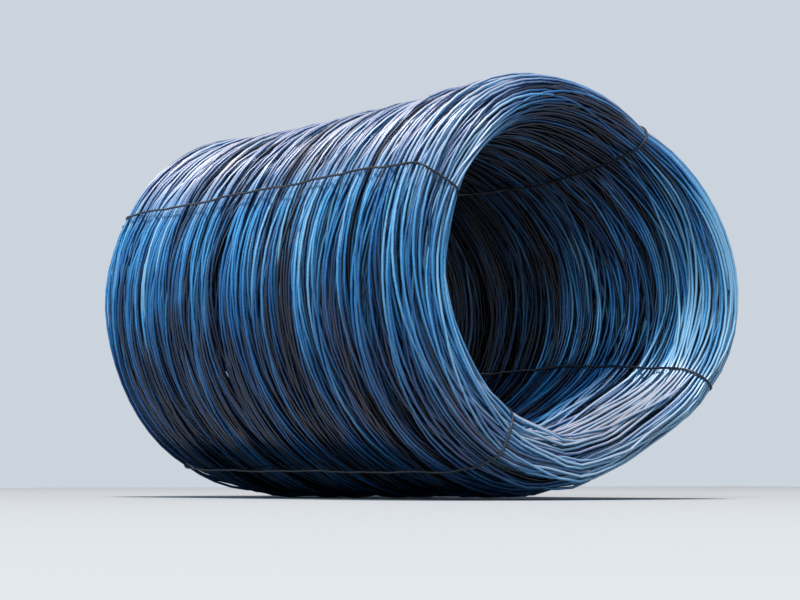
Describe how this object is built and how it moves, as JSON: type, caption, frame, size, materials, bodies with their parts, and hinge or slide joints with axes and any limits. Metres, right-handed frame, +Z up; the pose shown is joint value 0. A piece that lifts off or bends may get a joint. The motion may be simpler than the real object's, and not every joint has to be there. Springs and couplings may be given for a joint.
{
  "type": "wire rod coil",
  "caption": "Coil of hot-rolled steel wire rod lying on its side, wound round an open bore and bound with tie wires.",
  "frame": {"origin": "on the surface that the coil lies on, under the middle of the coil", "axes": "+Z up, Y along the coil's bore with the mouth that the picture shows at -Y, +X to its right as seen from that mouth"},
  "size_m": [1.2498, 1.9, 1.2499],
  "materials": {
    "rod_winding": "dark blue-grey mill scale, as hot-rolled",
    "tie_wire": "dark annealed wire, satin"
  },
  "bodies": {
    "root": {"rod_winding": "rod_winding", "tie_wire_1": "tie_wire", "tie_wire_2": "tie_wire", "tie_wire_3": "tie_wire", "tie_wire_4": "tie_wire"}
  },
  "joints": []
}
